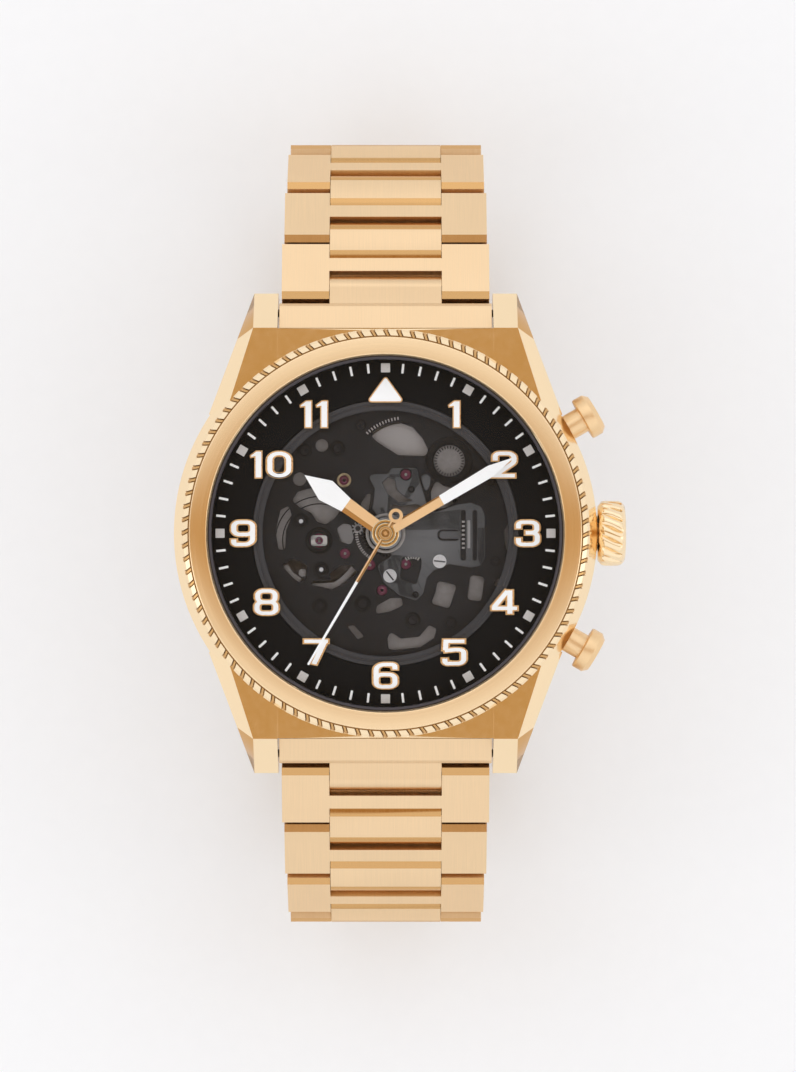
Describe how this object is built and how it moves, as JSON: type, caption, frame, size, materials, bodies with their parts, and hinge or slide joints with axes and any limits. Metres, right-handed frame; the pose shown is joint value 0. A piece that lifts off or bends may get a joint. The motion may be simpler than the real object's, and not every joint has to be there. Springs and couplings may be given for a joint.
{
  "type": "skeleton wristwatch",
  "caption": "Round skeleton wristwatch with open-worked automatic movement, coin-edge bezel, applied numerals, crown, pushers and a closed link bracelet with folding clasp.",
  "frame": {"origin": "centre of the case back's outer face", "axes": "+Z out of the dial, +Y towards 12 o'clock, +X towards the crown at 3 o'clock"},
  "size_m": [0.0468, 0.0838, 0.0448],
  "materials": {
    "gold_polished": "polished",
    "gold_brushed": "brushed along the bracelet",
    "gold_movement": "satin",
    "steel_movement": "grey, brushed",
    "steel_bright": "polished",
    "blade_steel": "gold coloured, brushed",
    "dial_black": "semi-matt",
    "dial_white": "semi-matt",
    "smoked_glass": "clear, smoked",
    "crystal_glass": "clear",
    "gasket_rubber": "matt",
    "jewel_red": "polished",
    "spring_steel": "blued"
  },
  "bodies": {
    "root": {"case_middle": "gold_polished", "bezel": "gold_polished", "crystal": "crystal_glass", "crystal_gasket": "gasket_rubber", "case_back": "gold_polished", "case_back_crystal": "crystal_glass", "casing_ring": "steel_movement", "dial_ring": "dial_black", "dial_glass": "smoked_glass", "hour_markers": "dial_white", "main_plate": "steel_movement", "train_bridge": "steel_movement", "balance_cock": "steel_movement", "movement_jewels": "jewel_red", "movement_screws": "steel_bright", "spring_bars": "steel_bright", "end_link_12": "gold_brushed", "end_link_6": "gold_brushed"},
    "hour": {"hour_hand": "gold_polished", "hour_wheel": "gold_movement"},
    "minute": {"minute_hand": "gold_polished", "cannon_pinion": "steel_bright", "centre_wheel": "gold_movement"},
    "seconds": {"seconds_hand": "gold_polished", "fourth_wheel": "gold_movement"},
    "minute_works": {"minute_wheel": "gold_movement"},
    "barrel": {"barrel": "gold_movement"},
    "third": {"third_wheel": "gold_movement"},
    "escape": {"escape_wheel": "steel_bright"},
    "pallets": {"pallet_fork": "steel_bright"},
    "balance": {"balance_wheel": "gold_movement", "hairspring": "spring_steel"},
    "rotor": {"rotor": "gold_movement"},
    "stem_slide": {"setting_lever": "steel_bright"},
    "crown": {"crown": "gold_polished"},
    "pusher_2": {"pusher_2": "gold_polished"},
    "pusher_4": {"pusher_4": "gold_polished"},
    "link_12_1": {"link_12_1": "gold_brushed"},
    "link_12_2": {"link_12_2": "gold_brushed"},
    "link_12_3": {"link_12_3": "gold_brushed"},
    "link_12_4": {"link_12_4": "gold_brushed"},
    "link_12_5": {"link_12_5": "gold_brushed"},
    "link_12_6": {"link_12_6": "gold_brushed"},
    "link_12_7": {"link_12_7": "gold_brushed"},
    "link_12_8": {"link_12_8": "gold_brushed"},
    "link_12_9": {"link_12_9": "gold_brushed"},
    "link_6_1": {"link_6_1": "gold_brushed"},
    "link_6_2": {"link_6_2": "gold_brushed"},
    "link_6_3": {"link_6_3": "gold_brushed"},
    "link_6_4": {"link_6_4": "gold_brushed"},
    "link_6_5": {"link_6_5": "gold_brushed"},
    "link_6_6": {"link_6_6": "gold_brushed"},
    "link_6_7": {"link_6_7": "gold_brushed"},
    "link_6_8": {"link_6_8": "gold_brushed"},
    "link_6_9": {"link_6_9": "gold_brushed"},
    "inner_blade": {"clasp_inner_blade": "blade_steel"},
    "outer_blade": {"clasp_outer_blade": "blade_steel"},
    "cover": {"clasp_cover": "gold_brushed"},
    "button_left": {"clasp_button_left": "gold_polished"},
    "button_right": {"clasp_button_right": "gold_polished"}
  },
  "joints": [
    {"name": "minute_turn", "type": "hinge", "parent": "root", "child": "minute", "pos_m": [0, 0, 0.009], "axis": [0, 0, -1], "continuous": true},
    {"name": "hour_turn", "type": "hinge", "parent": "root", "child": "hour", "pos_m": [0, 0, 0.0088], "axis": [0, 0, -1], "continuous": true},
    {"name": "seconds_turn", "type": "hinge", "parent": "root", "child": "seconds", "pos_m": [0, 0, 0.0095], "axis": [0, 0, -1], "continuous": true},
    {"name": "minute_wheel_turn", "type": "hinge", "parent": "root", "child": "minute_works", "pos_m": [-0.00286, 0.0005, 0.007], "axis": [0, 0, -1], "continuous": true},
    {"name": "barrel_turn", "type": "hinge", "parent": "root", "child": "barrel", "pos_m": [0.0021, 0.0061, 0.0053], "axis": [0, 0, -1], "continuous": true},
    {"name": "third_wheel_turn", "type": "hinge", "parent": "root", "child": "third", "pos_m": [0.0021, -0.0032, 0.0045], "axis": [0, 0, -1], "continuous": true},
    {"name": "escape_wheel_turn", "type": "hinge", "parent": "root", "child": "escape", "pos_m": [-0.0016, -0.0033, 0.0053], "axis": [0, 0, -1], "continuous": true},
    {"name": "pallet_rock", "type": "hinge", "parent": "root", "child": "pallets", "pos_m": [-0.0042, -0.0021, 0.0053], "axis": [0, 0, -1], "range_deg": [-4, 4]},
    {"name": "balance_swing", "type": "hinge", "parent": "root", "child": "balance", "pos_m": [-0.00687, -0.00075, 0.0035], "axis": [0, 0, -1], "range_deg": [-150, 150], "stiffness_Nm_per_rad": 0.0000004},
    {"name": "rotor_spin", "type": "hinge", "parent": "root", "child": "rotor", "pos_m": [0, 0, 0.002], "axis": [0, 0, -1], "continuous": true},
    {"name": "crown_pull", "type": "slide", "parent": "root", "child": "stem_slide", "axis": [1, 0, 0], "range_m": [0, 0.0014]},
    {"name": "crown_turn", "type": "hinge", "parent": "stem_slide", "child": "crown", "pos_m": [0.023, 0, 0.00515], "axis": [1, 0, 0], "continuous": true},
    {"name": "pusher_2_press", "type": "slide", "parent": "root", "child": "pusher_2", "axis": [-0.866, -0.5, 0], "range_m": [0, 0.0008], "stiffness_N_per_m": 800},
    {"name": "pusher_4_press", "type": "slide", "parent": "root", "child": "pusher_4", "axis": [-0.866, 0.5, 0], "range_m": [0, 0.0008], "stiffness_N_per_m": 800},
    {"name": "bend_12_1", "type": "hinge", "parent": "root", "child": "link_12_1", "pos_m": [0, 0.0253, 0.0049], "axis": [1, 0, 0], "range_deg": [0, 20]},
    {"name": "bend_12_2", "type": "hinge", "parent": "link_12_1", "child": "link_12_2", "pos_m": [0, 0.03103, 0.00281], "axis": [1, 0, 0], "range_deg": [0, 11]},
    {"name": "bend_12_3", "type": "hinge", "parent": "link_12_2", "child": "link_12_3", "pos_m": [0, 0.03626, -0.00033], "axis": [1, 0, 0], "range_deg": [0, 21]},
    {"name": "bend_12_4", "type": "hinge", "parent": "link_12_3", "child": "link_12_4", "pos_m": [0, 0.04002, -0.00513], "axis": [1, 0, 0], "range_deg": [0, 34]},
    {"name": "bend_12_5", "type": "hinge", "parent": "link_12_4", "child": "link_12_5", "pos_m": [0, 0.04044, -0.01122], "axis": [1, 0, 0], "range_deg": [0, 15]},
    {"name": "bend_12_6", "type": "hinge", "parent": "link_12_5", "child": "link_12_6", "pos_m": [0, 0.03928, -0.01721], "axis": [1, 0, 0], "range_deg": [0, 15]},
    {"name": "bend_12_7", "type": "hinge", "parent": "link_12_6", "child": "link_12_7", "pos_m": [0, 0.0366, -0.02269], "axis": [1, 0, 0], "range_deg": [0, 16]},
    {"name": "bend_12_8", "type": "hinge", "parent": "link_12_7", "child": "link_12_8", "pos_m": [0, 0.03252, -0.02722], "axis": [1, 0, 0], "range_deg": [0, 18]},
    {"name": "bend_12_9", "type": "hinge", "parent": "link_12_8", "child": "link_12_9", "pos_m": [0, 0.02724, -0.03027], "axis": [1, 0, 0], "range_deg": [0, 18]},
    {"name": "bend_6_1", "type": "hinge", "parent": "root", "child": "link_6_1", "pos_m": [0, -0.0253, 0.0049], "axis": [-1, 0, 0], "range_deg": [0, 20]},
    {"name": "bend_6_2", "type": "hinge", "parent": "link_6_1", "child": "link_6_2", "pos_m": [0, -0.03103, 0.00281], "axis": [-1, 0, 0], "range_deg": [0, 11]},
    {"name": "bend_6_3", "type": "hinge", "parent": "link_6_2", "child": "link_6_3", "pos_m": [0, -0.03626, -0.00033], "axis": [-1, 0, 0], "range_deg": [0, 21]},
    {"name": "bend_6_4", "type": "hinge", "parent": "link_6_3", "child": "link_6_4", "pos_m": [0, -0.04002, -0.00513], "axis": [-1, 0, 0], "range_deg": [0, 34]},
    {"name": "bend_6_5", "type": "hinge", "parent": "link_6_4", "child": "link_6_5", "pos_m": [0, -0.04044, -0.01122], "axis": [-1, 0, 0], "range_deg": [0, 15]},
    {"name": "bend_6_6", "type": "hinge", "parent": "link_6_5", "child": "link_6_6", "pos_m": [0, -0.03928, -0.01721], "axis": [-1, 0, 0], "range_deg": [0, 15]},
    {"name": "bend_6_7", "type": "hinge", "parent": "link_6_6", "child": "link_6_7", "pos_m": [0, -0.0366, -0.02269], "axis": [-1, 0, 0], "range_deg": [0, 16]},
    {"name": "bend_6_8", "type": "hinge", "parent": "link_6_7", "child": "link_6_8", "pos_m": [0, -0.03252, -0.02722], "axis": [-1, 0, 0], "range_deg": [0, 18]},
    {"name": "bend_6_9", "type": "hinge", "parent": "link_6_8", "child": "link_6_9", "pos_m": [0, -0.02724, -0.03027], "axis": [-1, 0, 0], "range_deg": [0, 18]},
    {"name": "clasp_end_turn", "type": "hinge", "parent": "link_6_9", "child": "inner_blade", "pos_m": [0, -0.02127, -0.03154], "axis": [-1, 0, 0], "range_deg": [0, 12]},
    {"name": "clasp_blade_fold", "type": "hinge", "parent": "inner_blade", "child": "outer_blade", "pos_m": [0, 0.0155, -0.03124], "axis": [1, 0, 0], "range_deg": [0, 150]},
    {"name": "clasp_cover_turn", "type": "hinge", "parent": "outer_blade", "child": "cover", "pos_m": [0, -0.0165, -0.03189], "axis": [-1, 0, 0], "range_deg": [0, 150]},
    {"name": "clasp_button_left_press", "type": "slide", "parent": "cover", "child": "button_left", "axis": [1, 0, 0], "range_m": [0, 0.0005], "stiffness_N_per_m": 800},
    {"name": "clasp_button_right_press", "type": "slide", "parent": "cover", "child": "button_right", "axis": [-1, 0, 0], "range_m": [0, 0.0005], "stiffness_N_per_m": 800}
  ],
  "couplings": [
    {"joint": "minute_turn", "follows": "seconds_turn", "ratio": 0.016667},
    {"joint": "hour_turn", "follows": "seconds_turn", "ratio": 0.0013889},
    {"joint": "minute_wheel_turn", "follows": "seconds_turn", "ratio": -0.0055556},
    {"joint": "barrel_turn", "follows": "seconds_turn", "ratio": -0.0020833},
    {"joint": "third_wheel_turn", "follows": "seconds_turn", "ratio": -0.13333},
    {"joint": "escape_wheel_turn", "follows": "seconds_turn", "ratio": -10},
    {"joint": "clasp_cover_turn", "follows": "clasp_blade_fold", "ratio": 1}
  ]
}
